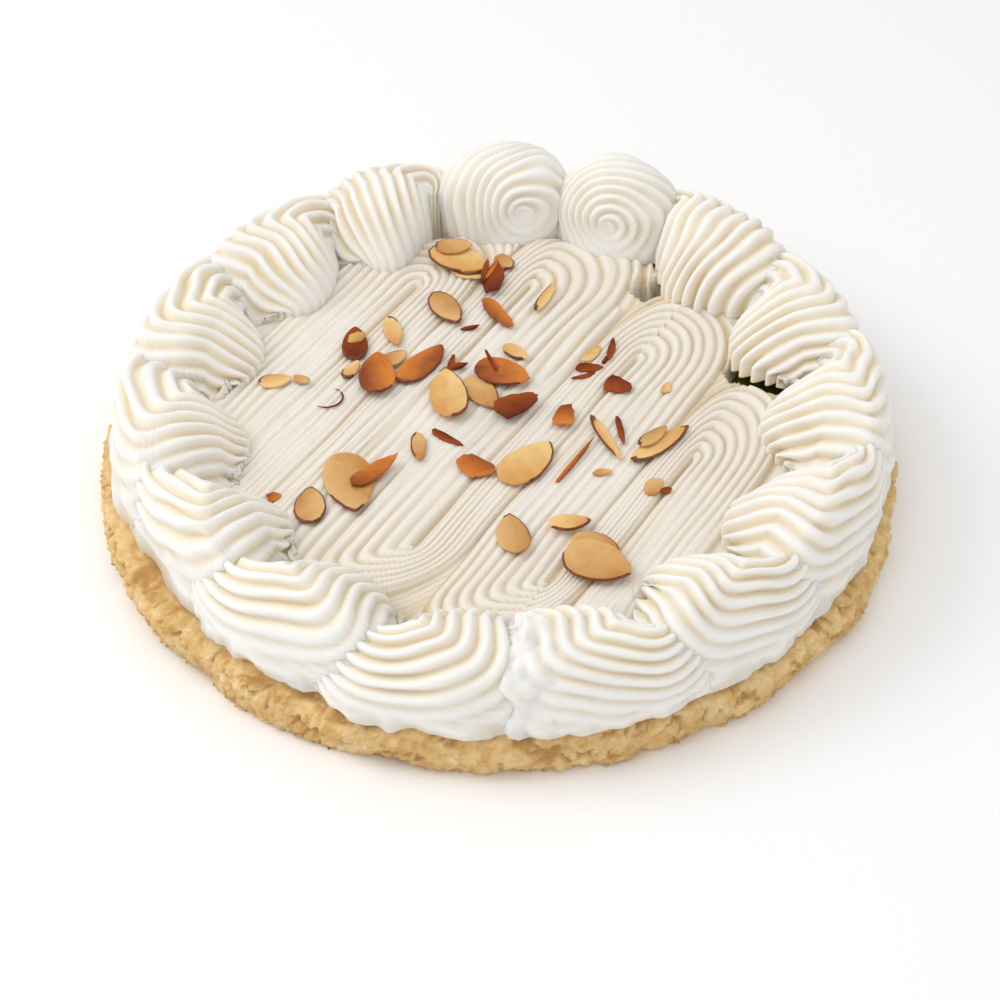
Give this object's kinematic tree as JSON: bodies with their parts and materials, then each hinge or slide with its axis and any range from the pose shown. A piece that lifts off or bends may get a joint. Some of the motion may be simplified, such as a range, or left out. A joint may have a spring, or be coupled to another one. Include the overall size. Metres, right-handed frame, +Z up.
{
  "type": "banana cream pie",
  "caption": "Round shallow banana cream pie: crumbly shortcrust shell, ridged cream piped across the middle, a ring of large cream swirls on the rim and toasted almond slices.",
  "frame": {"origin": "centre of the crust's underside", "axes": "+Z up, -Y towards the front of the pie as it is seen, +X to the right of that view"},
  "size_m": [0.2368, 0.237, 0.0528],
  "materials": {
    "crust": "matte, crumbly",
    "filling": "soft sheen",
    "cream": "soft satin",
    "swirl_cream": "soft satin",
    "almond_pale": "satin",
    "almond_tan": "satin",
    "almond_toasted": "satin",
    "almond_skin": "satin"
  },
  "bodies": {
    "root": {"crust": "crust", "filling": "filling", "cream_piping": "cream", "swirl_01": "swirl_cream", "swirl_02": "swirl_cream", "swirl_03": "swirl_cream", "swirl_04": "swirl_cream", "swirl_05": "swirl_cream", "swirl_06": "swirl_cream", "swirl_07": "swirl_cream", "swirl_08": "swirl_cream", "swirl_09": "swirl_cream", "swirl_10": "swirl_cream", "swirl_11": "swirl_cream", "swirl_12": "swirl_cream", "swirl_13": "swirl_cream", "swirl_14": "swirl_cream", "swirl_15": "swirl_cream", "almond_01": "almond_tan", "almond_02": "almond_tan", "almond_03": "almond_tan", "almond_04": "almond_tan", "almond_05": "almond_skin", "almond_06": "almond_toasted", "almond_07": "almond_pale", "almond_08": "almond_pale", "almond_09": "almond_skin", "almond_10": "almond_pale", "almond_11": "almond_tan", "almond_12": "almond_pale", "almond_13": "almond_toasted", "almond_14": "almond_toasted", "almond_15": "almond_tan", "almond_16": "almond_pale", "almond_17": "almond_toasted", "almond_18": "almond_skin", "almond_19": "almond_pale", "almond_20": "almond_tan", "almond_21": "almond_toasted", "almond_22": "almond_tan", "almond_23": "almond_pale", "almond_24": "almond_tan", "almond_25": "almond_toasted", "almond_26": "almond_pale", "almond_27": "almond_tan", "almond_28": "almond_pale", "almond_29": "almond_tan", "almond_30": "almond_tan", "almond_31": "almond_pale", "almond_32": "almond_tan", "almond_33": "almond_toasted", "almond_34": "almond_skin", "almond_35": "almond_pale", "almond_36": "almond_tan"}
  },
  "joints": []
}
